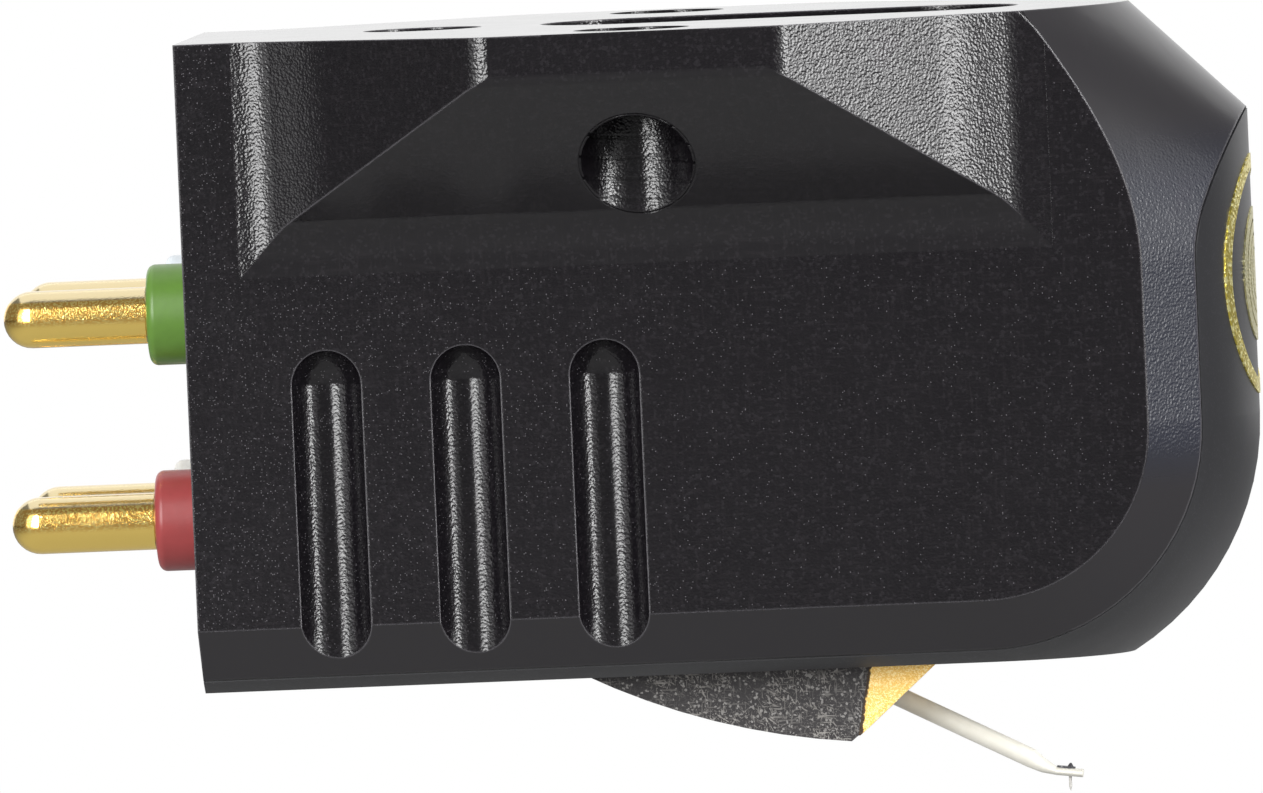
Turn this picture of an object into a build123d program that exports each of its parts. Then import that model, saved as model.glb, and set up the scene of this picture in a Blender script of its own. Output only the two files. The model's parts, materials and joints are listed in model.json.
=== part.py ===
"""Moving-coil phono cartridge: a machined body with two tapped ears, a wrapped
front cover, four terminal pins and a hinged coil, cantilever and stylus.

Millimetres. The origin is midway between the two fixing holes on the mounting
face. +X runs to the nose, +Y to the left channel, +Z into the headshell.
"""
from build123d import *
from math import atan2, cos, degrees, radians, sin, sqrt, tan
import os

# Fixing to the headshell
hole_pitch = 12.7
hole_r = 1.25
top_z = 0.0

# Body block: rear face, flat sides, and the corner that the nose turns round
rear_x = -10.0
side_y = 4.7
turn_x = 7.0
turn_z = -9.0
flat_r = 3.65
chamfer_run = 1.13
chamfer_slope = 0.95
seam_r = flat_r + chamfer_run
crown_rise = 1.07
crown_r = seam_r + crown_rise
bottom_step = 0.265
bottom_z = turn_z - seam_r - bottom_step
nose_mid_z = -5.55
slant_run = 2.48
slant_x = turn_x + crown_r - slant_run
slant_slope = 0.972
loft_x0 = turn_x - 2
loft_x1 = turn_x + crown_r + 0.55

# Ears
ear_y = 8.5
ear_flat_half = 3.25
ear_root_rear = -8.3
ear_root_front = 8.3
ear_edge_h = 1.0
ear_slope_deg = 41.5
ear_corner_r = 0.8
ear_root_r = 1.4
ear_web_r = 1.6
ear_lip_r = 0.3
ear_root_z = top_z - ear_edge_h - (ear_y - side_y) * tan(radians(ear_slope_deg))

# Grip grooves down both sides
groove_x = (-7.0, -4.0, -1.0)
groove_r = 0.755
groove_depth = 0.67
groove_top_z = -6.7

# Top face: weight-saving slot and the counterbore over the carrier screw
slot_x0 = -2.36
slot_x1 = 8.0
slot_w = 4.5
slot_depth = 5.5
cbore_x = -4.92
cbore_r = 1.285
cbore_depth = 3.2
screw_r = 0.8
screw_clear = 0.05
screw_head_h = 1.0
screw_head_clear = 0.14
screw_head_round = 0.2
screw_slot_w = 0.3

# Wiring chamber and generator bay, milled from below
chamber_x0 = -7.2
chamber_step_x = -3.4
chamber_y = 2.9
chamber_top_z = -4.6
bay_x0 = -2.0
bay_x1 = 5.8
bay_top_z = -7.0
milled_r = 0.8
bay_clear = 0.05
bay_corner_r = 0.3

# Front cover
cover_step = 0.36
cover_floor_r = seam_r - cover_step
cover_gap = 0.02
cover_mouth_clear = 0.1
cover_mouth_r = 0.4
medal_z = -6.0
ring_r = 2.6
ring_w = 0.33
disc_r = 1.45
inlay_depth = 0.15
inlay_proud = 0.03
disc_groove_radii = (0.55, 0.85, 1.15)
disc_groove = 0.06

# Terminal pins and their insulating collars
pin_y = 2.75
pin_z_upper = -5.85
pin_z_lower = -10.3
pin_r = 0.615
pin_tip_x = -14.05
pin_neck = 0.05
pin_seat_r = 0.45
pin_shoulder_x = -7.3
pin_tail_r = 0.4
pin_tail_x = -6.3
collar_r = 1.09
collar_shank_r = 0.92
collar_face_x = -10.9
collar_end_x = -7.45
collar_round = 0.18
solder_h = 0.36

# Generator: carrier, shroud, magnet and pole pieces
carrier_y = 1.5
carrier_tongue_t = 1.2
carrier_tongue_x = -6.2
carrier_riser_t = 0.55
carrier_plate_t = 0.85
carrier_corner_r = 0.7
shroud_y = 2.2
cheek_t = 0.55
shroud_x0 = -1.9
shroud_toe_x = 3.85
shroud_arc_x = 5.23
shroud_arc_z = -0.24
shroud_arc_r = 15.5
shroud_skin = 0.5
joint_top_x = 4.28
joint_low_x = 4.0
joint_low_z = -15.56
pole_face_x = 5.7
pole_toe = 0.04
pole_root_z = -14.1
rear_pole_x0 = -1.3
rear_pole_t = 1.3
rear_neck_y = 1.0
rear_neck_z = -11.4
rear_foot_z = -13.2
magnet_low_z = -11.0
magnet_y = 1.6
magnet_chamfer = 0.12
post_r = 0.75

# Suspension, coils, cantilever and stylus, along the cantilever line
pivot_x = 2.81
pivot_z = -13.84
cant_deg = 27.2
damper_l = 0.5
damper_r = 0.66
run_gap = 0.06
wire_r = 0.04
wire_bore_r = 0.10
wire_tip = 0.12
grub_r = 0.5
grub_slot_w = 0.16
grub_slot_d = 0.3
hub_r = 0.36
hub_l = 1.0
socket_s = 0.55
arm_w = 0.4
arm_half = 0.78
arm_s0 = 0.2
arm_t = 0.3
winding_t = 0.11
winding_in = 0.40
winding_out = 0.70
tube_r = 0.21
tube_bore_r = 0.13
pole_hole_r = 0.55
tube_l = 5.386
crush_run = 0.54
crush_drop = 0.298
tab_run = 0.565
tab_drop = 0.07
tab_half_t = 0.09
tab_half_w = 0.26
tube_end = (pivot_x + tube_l * cos(radians(cant_deg)), pivot_z - tube_l * sin(radians(cant_deg)))
tab_start = (tube_end[0] + crush_run, tube_end[1] - crush_drop)
tab_end = (tab_start[0] + tab_run, tab_start[1] - tab_drop)
stylus_set = 0.28
stylus_x = tab_start[0] + stylus_set
stylus_r = 0.033
stylus_out = 0.315
stylus_cone = 0.09
tab_mid_z = tab_start[1] - tab_drop * stylus_set / tab_run
stylus_tip_z = tab_mid_z - tab_half_t - stylus_out
bond_back = 0.29
bond_front = 0.11
bond_half_w = 0.13
bond_film = 0.035
bond_h = 0.11
bond_cone_r = 0.12
bond_cap_r = 0.02
lead_r = 0.03
lead_lift = 0.45

nodes = {}


def box(x0, x1, y0, y1, z0, z1):
    """Block between two corners."""
    size = (x1 - x0, y1 - y0, z1 - z0)
    centre = ((x0 + x1) / 2, (y0 + y1) / 2, (z0 + z1) / 2)
    return Pos(*centre) * Box(*size)


def pocket(x0, x1, half_y, z0, z1, r=milled_r):
    """Milled pocket with round vertical corners."""
    face = RectangleRounded(x1 - x0, 2 * half_y, r)
    return Pos((x0 + x1) / 2, 0, z0) * extrude(face, z1 - z0)


def prism_y(points, half_y):
    """Side profile given as (x, z) pairs, thickened to both sides."""
    line = Polyline(*[(x, 0, z) for x, z in points], close=True)
    return extrude(make_face(line), half_y, both=True, dir=(0, 1, 0))


def rod_x(x0, x1, y, z, r):
    """Round rod along X."""
    plane = Plane(origin=(x0, y, z), x_dir=(0, 1, 0), z_dir=(1, 0, 0))
    return extrude(plane * Circle(r), x1 - x0)


def on_axis(s=0.0):
    """Plane square to the cantilever line, s along it from the pivot."""
    a = radians(cant_deg)
    origin = (pivot_x + s * cos(a), 0, pivot_z - s * sin(a))
    return Plane(origin=origin, x_dir=(0, 1, 0), z_dir=(cos(a), 0, -sin(a)))


def rod_s(s0, s1, r, bore=0.0):
    """Rod or tube along the cantilever line."""
    face = Circle(r)
    if bore:
        face -= Circle(bore)
    return extrude(on_axis(s0) * face, s1 - s0)


def crown_arc_radius():
    """Plan radius of the crown through the seam and the foremost point."""
    half = side_y - chamfer_slope * (seam_r - flat_r)
    rise = crown_r - seam_r
    return (half**2 + rise**2) / (2 * rise), half


def wrap(face_points):
    """Carry a plan section, as (r, y) straight and arc runs, round the nose.

    The section goes down the front, round the lower corner and back along
    the bottom to the rear face, which is the path the outer form follows.
    """
    line = None
    for run in face_points:
        shifted = [(turn_x + r, y, turn_z) for r, y in run]
        edge = ThreePointArc(*shifted) if len(run) == 3 else Line(*shifted)
        line = edge if line is None else line + edge
    section = make_face(line)
    front = extrude(section, top_z - turn_z, dir=(0, 0, 1))
    hinge = Axis((turn_x, 0, turn_z), (0, 1, 0))
    corner = revolve(section, hinge, 90)
    under = section.rotate(hinge, 90)
    tail = extrude(under, turn_x - rear_x, dir=(-1, 0, 0))
    return front + corner + tail


def outer_form():
    """Body block with the chamfer band and the crowned nose."""
    half = crown_arc_radius()[1]
    runs = [
        [(0, -side_y), (flat_r, -side_y)],
        [(flat_r, -side_y), (seam_r, -half)],
        [(seam_r, -half), (crown_r, 0), (seam_r, half)],
        [(seam_r, half), (flat_r, side_y)],
        [(flat_r, side_y), (0, side_y)],
        [(0, side_y), (0, -side_y)],
    ]
    core = box(rear_x, turn_x, -side_y, side_y, turn_z, top_z)
    low = box(rear_x, crown_r + turn_x, -side_y, side_y, turn_z - crown_r, bottom_z)
    return wrap(runs) + core - low


def ears():
    """Both ears as one plan form under one sloped and webbed section."""
    plan_pts = [(rear_x, -side_y), (ear_root_rear, -side_y), (-ear_flat_half, -ear_y),
                (ear_flat_half, -ear_y), (ear_root_front, -side_y), (turn_x + flat_r - 1, -side_y)]
    plan_pts += [(x, -y) for x, y in reversed(plan_pts)]
    plan = make_face(Polyline(*plan_pts, close=True))
    outer = plan.vertices().filter_by(lambda v: abs(v.Y) > side_y + 0.1)
    plan = fillet(outer, ear_corner_r)
    roots = plan.vertices().filter_by(
        lambda v: abs(abs(v.Y) - side_y) < 1e-6 and min(abs(v.X - ear_root_rear),
                                                        abs(v.X - ear_root_front)) < 1e-6)
    plan = fillet(roots, ear_root_r)
    deep_z = ear_root_z - ear_web_r
    half = [(side_y, deep_z), (side_y, ear_root_z), (ear_y, top_z - ear_edge_h), (ear_y, top_z)]
    sec = half + [(-y, z) for y, z in reversed(half)]
    face = make_face(Polyline(*[(0, y, z) for y, z in sec], close=True))
    webs = face.vertices().filter_by(lambda v: abs(v.Z - ear_root_z) < 1e-6)
    face = fillet(webs, ear_web_r)
    lips = face.vertices().filter_by(lambda v: abs(v.Z - top_z + ear_edge_h) < 1e-6)
    face = fillet(lips, ear_lip_r)
    section = extrude(face, turn_x + flat_r - rear_x, both=True, dir=(1, 0, 0))
    return extrude(plan, deep_z - top_z) & section


def nose_waste():
    """Material outside the elliptical cone that forms the upper nose."""
    faces = []
    for x in (loft_x0, loft_x1):
        a = side_y + chamfer_slope * (turn_x + flat_r - x)
        b = -nose_mid_z + slant_slope * (slant_x - x)
        plane = Plane(origin=(x, 0, nose_mid_z), x_dir=(0, 1, 0), z_dir=(1, 0, 0))
        arc = EllipticalCenterArc((0, 0), a, b, start_angle=0, arc_size=180)
        faces.append(plane * make_face(arc + Line(arc @ 1, arc @ 0)))
    cone = loft(faces, ruled=True)
    block = box(loft_x0, loft_x1 - 0.2, -ear_y - 1, ear_y + 1, nose_mid_z, top_z + 1)
    return block - cone


def cover_recess():
    """Room for the cover, wider than its crown seam by the gap."""
    edge = crown_arc_radius()[1] + cover_gap
    outer = crown_r + 0.5
    corners = [(cover_floor_r, -edge), (outer, -edge), (outer, edge), (cover_floor_r, edge)]
    runs = list(zip(corners, corners[1:] + corners[:1]))
    return wrap(runs) & arch(-cover_gap)


def cover_blank():
    """Crowned strip that fills the recess up to the gap."""
    arc_r, half = crown_arc_radius()
    edge = half - cover_gap
    lift = crown_r - arc_r + sqrt(arc_r**2 - edge**2)
    runs = [
        [(cover_floor_r, -edge), (lift, -edge)],
        [(lift, -edge), (crown_r, 0), (lift, edge)],
        [(lift, edge), (cover_floor_r, edge)],
        [(cover_floor_r, edge), (cover_floor_r, -edge)],
    ]
    low = box(rear_x, crown_r + turn_x, -side_y, side_y, turn_z - crown_r - 1, bottom_z)
    return (wrap(runs) - low) & arch(cover_gap)


def arch(gap):
    """Arch that bounds the cover in front view, smaller by gap."""
    arc_r, half = crown_arc_radius()
    points = []
    steps = 12
    for i in range(steps + 1):
        y = half * sin(radians(-90 + 180 * i / steps))
        x = turn_x + crown_r - arc_r + sqrt(arc_r**2 - y**2)
        a = side_y + chamfer_slope * (turn_x + flat_r - x)
        b = -nose_mid_z + slant_slope * (slant_x - x)
        z = nose_mid_z + b * sqrt(max(0.0, 1 - (y / a) ** 2))
        points.append((rear_x - 1, y * (half - gap) / half, z - gap))
    top = Spline(*points)
    floor_z = bottom_z - 1
    low = (rear_x - 1, half - gap, floor_z)
    sides = Polyline(points[-1], low, (rear_x - 1, gap - half, floor_z), points[0])
    return extrude(make_face(top + sides), turn_x + crown_r + 2 - rear_x, dir=(1, 0, 0))


def medallion(r, inner, plan_r):
    """Ring or disc cut from the crown, out to plan_r from the crown's axis."""
    arc_r = crown_arc_radius()[0]
    centre_x = turn_x + crown_r - arc_r
    plane = Plane(origin=(centre_x, 0, medal_z), x_dir=(0, 1, 0), z_dir=(1, 0, 0))
    face = Circle(r)
    if inner:
        face -= Circle(inner)
    tool = extrude(plane * face, arc_r + 1)
    outer = Pos(centre_x, 0, medal_z - r - 1) * extrude(Circle(plan_r), 2 * r + 2)
    floor = Pos(centre_x, 0, medal_z - r - 1) * extrude(Circle(arc_r - inlay_depth), 2 * r + 2)
    return tool & (outer - floor)


def grooves():
    """Ball-ended grip grooves that run out through the lower chamfer."""
    axis_y = side_y + groove_r - groove_depth
    half_w = sqrt(groove_r**2 - (groove_r - groove_depth) ** 2)
    top = groove_top_z - half_w
    cuts = []
    for x in groove_x:
        for side in (-1, 1):
            ball = Pos(x, side * axis_y, top) * Sphere(groove_r)
            run = Pos(x, side * axis_y, top) * extrude(Circle(groove_r), bottom_z - 1 - top)
            cuts.append(ball + run)
    return cuts


def main_body():
    """Machined body: ears, grooves, slot, chamber, bay and cover recess."""
    body = outer_form() + ears() - nose_waste()
    body -= grooves()
    reach = top_z - ear_root_z + ear_web_r
    for side in (-1, 1):
        body -= Pos(0, side * hole_pitch / 2, top_z - reach) * extrude(Circle(hole_r), reach + 1)
    length = slot_x1 - slot_x0
    slot = SlotOverall(length, slot_w)
    body -= Pos((slot_x0 + slot_x1) / 2, 0, top_z - slot_depth) * extrude(slot, slot_depth + 1)
    body -= Pos(cbore_x, 0, top_z - cbore_depth) * extrude(Circle(cbore_r), cbore_depth + 1)
    body -= Pos(cbore_x, 0, chamber_top_z - 1) * extrude(Circle(screw_r + screw_clear), 3)
    low = bottom_z - 1
    body -= pocket(chamber_x0, chamber_step_x, chamber_y, low, chamber_top_z)
    body -= pocket(chamber_x0, bay_x0, chamber_y, low, bay_top_z)
    body -= pocket(bay_x0 - 2, bay_x1, shroud_y + bay_clear, low, bay_top_z, bay_corner_r)
    for y, z in pin_places().values():
        body -= rod_x(rear_x - 1, chamber_x0 + 1.6, y, z, collar_shank_r)
    return body - cover_recess()


def front_cover():
    """Satin cover strip with its mouth for the generator and inlay recesses."""
    cover = cover_blank()
    mouth_y = shroud_y + cover_mouth_clear
    cover -= pocket(bay_x0 - cover_mouth_clear, bay_x1 + cover_mouth_clear, mouth_y,
                    bottom_z - 1, turn_z - cover_floor_r + 1, cover_mouth_r)
    arc_r = crown_arc_radius()[0]
    cover -= medallion(ring_r, ring_r - ring_w, arc_r + 1)
    cover -= medallion(disc_r, 0, arc_r + 1)
    return cover


def medallion_ring():
    arc_r = crown_arc_radius()[0]
    return medallion(ring_r, ring_r - ring_w, arc_r + inlay_proud)


def medallion_disc():
    """Inlaid disc with turned concentric rings."""
    arc_r = crown_arc_radius()[0]
    disc = medallion(disc_r, 0, arc_r + inlay_proud)
    for r in disc_groove_radii:
        disc -= medallion(r + disc_groove / 2, r - disc_groove / 2, arc_r + 1) - medallion(
            r + disc_groove, 0, arc_r - inlay_depth / 2)
    return disc


def pin_places():
    """Terminal positions on the rear face, seen as (y, z)."""
    return {
        "right_upper": (-pin_y, pin_z_upper),
        "right_lower": (-pin_y, pin_z_lower),
        "left_upper": (pin_y, pin_z_upper),
        "left_lower": (pin_y, pin_z_lower),
    }


def terminal_pin(y, z):
    """Turned pin: domed plug end, thinner shank in the collar and a solder tail."""
    dome_x = pin_tip_x + pin_r
    neck_x = collar_face_x - pin_neck
    profile = Line((pin_tip_x, 0), (pin_tail_x, 0))
    profile += Polyline((pin_tail_x, 0), (pin_tail_x, pin_tail_r), (pin_shoulder_x, pin_tail_r),
                        (pin_shoulder_x, pin_seat_r), (neck_x, pin_seat_r), (neck_x, pin_r),
                        (dome_x, pin_r))
    mid = (dome_x - pin_r * sin(radians(45)), pin_r * cos(radians(45)))
    profile += ThreePointArc((dome_x, pin_r), mid, (pin_tip_x, 0))
    plane = Plane(origin=(0, y, z), x_dir=(1, 0, 0), z_dir=(0, -1, 0))
    return revolve(plane * make_face(profile), Axis((0, y, z), (1, 0, 0)))


def collar(y, z):
    """Flanged insulating bush round a pin."""
    flange = rod_x(collar_face_x, rear_x, y, z, collar_r)
    rim = flange.edges().filter_by(GeomType.CIRCLE).sort_by(Axis.X)[0]
    flange = fillet(rim, collar_round)
    shank = rod_x(rear_x, collar_end_x, y, z, collar_shank_r)
    return flange + shank - rod_x(collar_face_x - 1, collar_end_x + 1, y, z, pin_seat_r)


def carrier():
    """Bracket that the pole pieces hang from, held by one screw from above."""
    tongue = box(carrier_tongue_x, chamber_step_x - 0.1, -carrier_y, carrier_y,
                 chamber_top_z - carrier_tongue_t, chamber_top_z)
    riser_x1 = chamber_step_x - 0.1
    plate_top = bay_top_z - bay_clear
    riser = box(riser_x1 - carrier_riser_t, riser_x1, -carrier_y, carrier_y,
                plate_top - carrier_plate_t, chamber_top_z)
    plate = pocket(riser_x1 - carrier_riser_t, pole_face_x, shroud_y - bay_clear,
                    plate_top - carrier_plate_t, plate_top, carrier_corner_r)
    part = tongue + riser + plate
    return part - Pos(cbore_x, 0, chamber_top_z - 2) * extrude(Circle(screw_r), 3)


def carrier_screw():
    """Slotted cheese-head screw sunk in the counterbore."""
    seat = top_z - cbore_depth
    head = Pos(cbore_x, 0, seat) * extrude(Circle(cbore_r - screw_head_clear), screw_head_h)
    head = fillet(head.edges().sort_by(Axis.Z)[-1], screw_head_round)
    tip = chamber_top_z - carrier_tongue_t
    shank = Pos(cbore_x, 0, tip) * extrude(Circle(screw_r), seat - tip)
    blade = box(cbore_x - 2 * cbore_r, cbore_x + 2 * cbore_r, -screw_slot_w / 2, screw_slot_w / 2,
                seat + screw_head_h / 2, top_z)
    return head + shank - blade


def arc_z(x, r):
    """Height of the shroud's underside arc of radius r at x."""
    return shroud_arc_z - sqrt(r**2 - (x - shroud_arc_x) ** 2)


def shroud():
    """Moulded trough round the pole pieces, open at the front, rear and top."""
    top = bay_top_z - bay_clear - carrier_plate_t

    def profile(r, x_end, toe):
        x_mid = (shroud_x0 + x_end) / 2
        start = (shroud_x0, 0, arc_z(shroud_x0, r))
        mid = (x_mid, 0, arc_z(x_mid, r))
        end = (x_end, 0, arc_z(x_end, r))
        under = ThreePointArc(start, mid, end)
        rest = Polyline(end, *toe, (joint_top_x, 0, pole_root_z), (joint_top_x, 0, top),
                        (shroud_x0, 0, top), start)
        return extrude(make_face(under + rest), shroud_y, both=True, dir=(0, 1, 0))

    outer = profile(shroud_arc_r, shroud_toe_x, [(joint_low_x, 0, joint_low_z)])
    inner_y = shroud_y - cheek_t
    inner = profile(shroud_arc_r - shroud_skin, joint_low_x, [])
    inner = inner + box(shroud_x0 - 1, joint_top_x + 1, -inner_y, inner_y, pole_root_z, top + 1)
    trough = box(shroud_x0 - 1, joint_top_x + 1, -inner_y, inner_y,
                 shroud_arc_z - shroud_arc_r, top_z)
    return outer - (inner & trough)


def front_pole():
    """Gilt front pole piece with its slanted face and cantilever hole."""
    top = bay_top_z - bay_clear - carrier_plate_t
    points = [(joint_top_x, top), (pole_face_x, top), (pole_face_x, pole_root_z),
              (joint_low_x + pole_toe, joint_low_z), (joint_low_x, joint_low_z),
              (joint_top_x, pole_root_z)]
    reach = (pole_face_x - pivot_x) / cos(radians(cant_deg)) + pole_hole_r
    return prism_y(points, shroud_y) - rod_s(0.8 * hub_l, reach, pole_hole_r)


def post_reach():
    """Distance along the cantilever line from the pivot back into the rear pole."""
    return (rear_pole_x0 + rear_pole_t / 2 - pivot_x) / cos(radians(cant_deg))


def rear_pole():
    """Rear pole piece: a necked plate with the post that aims at the coils."""
    top = bay_top_z - bay_clear - carrier_plate_t
    x1 = rear_pole_x0 + rear_pole_t
    plate = box(rear_pole_x0, x1, -magnet_y, magnet_y, rear_neck_z, top)
    neck = box(rear_pole_x0, x1, -rear_neck_y, rear_neck_y, rear_foot_z, rear_neck_z)
    post = rod_s(post_reach(), -damper_l - run_gap, post_r)
    part = plate + neck + post - rod_s(post_reach() - 2, 0, wire_r)
    return part - grub_hole(rear_neck_y + 0.5)


def grub_hole(depth_y):
    """Cross hole from the right side of the rear pole down to the tie wire."""
    plane = on_axis(post_reach())
    x, z = plane.origin.X, plane.origin.Z
    place = Plane(origin=(x, -wire_r, z), x_dir=(1, 0, 0), z_dir=(0, -1, 0))
    return extrude(place * Circle(grub_r), depth_y)


def grub_screw():
    """Socketless grub screw with a driving slot."""
    body = grub_hole(rear_neck_y - wire_r)
    c = body.center()
    half_w = grub_slot_w / 2
    return body - box(c.X - half_w, c.X + half_w, -rear_neck_y - 1, grub_slot_d - rear_neck_y,
                      c.Z - 2 * grub_r, c.Z + 2 * grub_r)


def magnet():
    top = bay_top_z - bay_clear - carrier_plate_t
    block = box(rear_pole_x0 + rear_pole_t, joint_top_x, -magnet_y, magnet_y, magnet_low_z, top)
    return chamfer(block.edges().filter_by(Axis.X), magnet_chamfer)


def damper():
    """Elastomer ring between the post and the coil former."""
    return rod_s(-damper_l, 0, damper_r, wire_bore_r)


def tie_wire():
    return rod_s(post_reach() - 0.5, run_gap + wire_tip, wire_r)


def coil_arm(half, width, thick):
    return Box(2 * half, width, thick)


def former():
    """Crossed coil former with a hub that carries the cantilever."""
    hub = rod_s(run_gap, hub_l, hub_r)
    mid = on_axis(arm_s0 + arm_t / 2)
    cross = mid * (Rot(0, 0, 45) * coil_arm(arm_half, arm_w, arm_t))
    cross += mid * (Rot(0, 0, -45) * coil_arm(arm_half, arm_w, arm_t))
    part = hub + cross - rod_s(-1, 2 * run_gap + wire_tip, wire_bore_r)
    return part - rod_s(socket_s, hub_l + 1, tube_r)


def winding(angle):
    """One channel's pair of windings on opposite arms of the former."""
    length = winding_out - winding_in
    ring = Box(length, arm_w + 2 * winding_t, arm_t + 2 * winding_t)
    ring = fillet(ring.edges().filter_by(Axis.X), winding_t * 0.9)
    ring -= Box(length + 1, arm_w, arm_t)
    mid = on_axis(arm_s0 + arm_t / 2)
    reach = (winding_in + winding_out) / 2
    pair = [mid * (Rot(0, 0, angle + turn) * (Pos(reach, 0, 0) * ring)) for turn in (0, 180)]
    return Compound(pair)


def oval(place, angle_deg, half_t, half_w):
    """Oval section square to a line falling at angle_deg below +X."""
    a = radians(angle_deg)
    plane = Plane(origin=(place[0], 0, place[1]), x_dir=(0, 1, 0), z_dir=(cos(a), 0, -sin(a)))
    return plane * Ellipse(half_w, half_t)


def cantilever():
    """Drawn tube, crushed to a flat tab at the stylus end."""
    tube = rod_s(socket_s, tube_l, tube_r)
    tab_deg = degrees(atan2(tab_start[1] - tab_end[1], tab_end[0] - tab_start[0]))
    waist = ((tube_end[0] + tab_start[0]) / 2 + 0.02, (tube_end[1] + tab_start[1]) / 2 - 0.035)
    sections = [
        oval(tube_end, cant_deg, tube_r, tube_r),
        oval(waist, (cant_deg + tab_deg) / 2 + 3, (tube_r + tab_half_t) / 2, tube_r + 0.03),
        oval(tab_start, tab_deg, tab_half_t, tab_half_w),
    ]
    crush = loft(sections)
    end = oval(tab_end, tab_deg, tab_half_t, tab_half_w)
    tab = loft([sections[2], end], ruled=True)
    part = tube + crush + tab - rod_s(socket_s - 1, tube_l - tube_r, tube_bore_r)
    return part - Pos(stylus_x, 0, tab_mid_z - 1) * extrude(Circle(stylus_r), 2)


def stylus():
    """Slim shank with a ground cone, bonded through the tab."""
    top = tab_mid_z + tab_half_t + bond_h * 0.5
    shoulder = stylus_tip_z + stylus_cone
    shank = Pos(stylus_x, 0, shoulder) * extrude(Circle(stylus_r), top - shoulder)
    tip = Pos(stylus_x, 0, stylus_tip_z + stylus_cone / 2) * Cone(
        stylus_r * 0.15, stylus_r, stylus_cone)
    return shank + tip


def stylus_bond():
    """Film of adhesive on the tab, drawn up into a cone round the stylus."""
    a = atan2(tab_drop, tab_run)
    tab = Plane(origin=(stylus_x, 0, tab_mid_z), x_dir=(cos(a), 0, -sin(a)), z_dir=(sin(a), 0, cos(a)))
    sunk = tab_half_t / 2
    slot = SlotOverall(bond_back + bond_front, 2 * bond_half_w)
    film = Pos((bond_front - bond_back) / 2, 0, sunk) * extrude(slot, sunk + bond_film)
    cone = Pos(0, 0, sunk + (sunk + bond_h) / 2) * Cone(bond_cone_r, bond_cap_r, sunk + bond_h)
    return tab * (film + cone) - cantilever() - stylus()


def lead_path(y, z, upper):
    """Run of one coil lead from beside the coils to a terminal tail."""
    side = 1 if y > 0 else -1
    lift = lead_lift if upper else 0.0
    neck_y = side * (rear_neck_y + magnet_y) / 2
    points = [
        (pivot_x - 0.3, side * (arm_half + 0.3), pivot_z + 0.15 + lift),
        (rear_pole_x0 + rear_pole_t + 0.6, neck_y, rear_foot_z + 0.3 + lift),
        (shroud_x0 + 0.2, neck_y, rear_foot_z + 0.6 + lift),
    ]
    end_x = pin_tail_x + solder_h / 2
    points.append((end_x + 2.1, y - side * 0.3, z + (-2.4 if upper else -1.0)))
    points.append((end_x, y, z))
    radii = [2.0, 1.6, 0.8]
    return FilletPolyline(*points, radius=radii)


def leads():
    """Four coil leads from the former back to the terminal tails."""
    wires = []
    for name, (y, z) in pin_places().items():
        path = lead_path(y, z, name.endswith("upper"))
        plane = Plane(origin=path @ 0, z_dir=path % 0)
        wires.append(sweep(plane * Circle(lead_r), path))
    return Compound(wires)


def lead_solder():
    """Solder beads that join the leads to the terminal tails."""
    beads = []
    for y, z in pin_places().values():
        bead = Pos(pin_tail_x, y, z) * scale(Sphere(1.0), by=(solder_h, pin_tail_r, pin_tail_r))
        bead &= box(pin_tail_x, pin_tail_x + 1, y - 1, y + 1, z - 1, z + 1)
        beads.append(bead)
    return Compound([bead - leads() for bead in beads])


collars = {"green": "right_upper", "red": "right_lower",
           "blue": "left_upper", "white": "left_lower"}

nodes["main_body"] = main_body()
nodes["front_cover"] = front_cover()
nodes["medallion_ring"] = medallion_ring()
nodes["medallion_disc"] = medallion_disc()
for place, spot in pin_places().items():
    nodes["terminal_pin_" + place] = terminal_pin(*spot)
for colour, place in collars.items():
    nodes["pin_collar_" + colour] = collar(*pin_places()[place])
nodes["generator_carrier"] = carrier()
nodes["carrier_screw"] = carrier_screw()
nodes["generator_shroud"] = shroud()
nodes["front_pole_piece"] = front_pole()
nodes["rear_pole_piece"] = rear_pole()
nodes["magnet"] = magnet()
nodes["tie_wire"] = tie_wire()
nodes["tie_wire_grub_screw"] = grub_screw()
nodes["damper_ring"] = damper()
nodes["coil_former"] = former()
nodes["coil_left"] = winding(45)
nodes["coil_right"] = winding(-45)
nodes["cantilever"] = cantilever()
nodes["stylus"] = stylus()
nodes["stylus_bond"] = stylus_bond()
nodes["coil_leads"] = leads()
nodes["lead_solder"] = lead_solder()

os.makedirs("parts", exist_ok=True)
for name, shape in nodes.items():
    shape.label = name
    export_step(shape, "parts/" + name + ".step")
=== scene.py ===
"""Looks and studio for a moving-coil phono cartridge, built round its CAD frame.

Lengths on the panel are in metres, as the frame is. Patterns are measured in
millimetres on Object coordinates. The camera stands on the cartridge's right.
"""
import json
from math import cos, pi, radians, sin, tan

import bpy
from bpy.props import FloatProperty, FloatVectorProperty, IntProperty, PointerProperty
from bpy.types import Operator, Panel, PropertyGroup
from mathutils import Euler, Matrix, Vector


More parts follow.
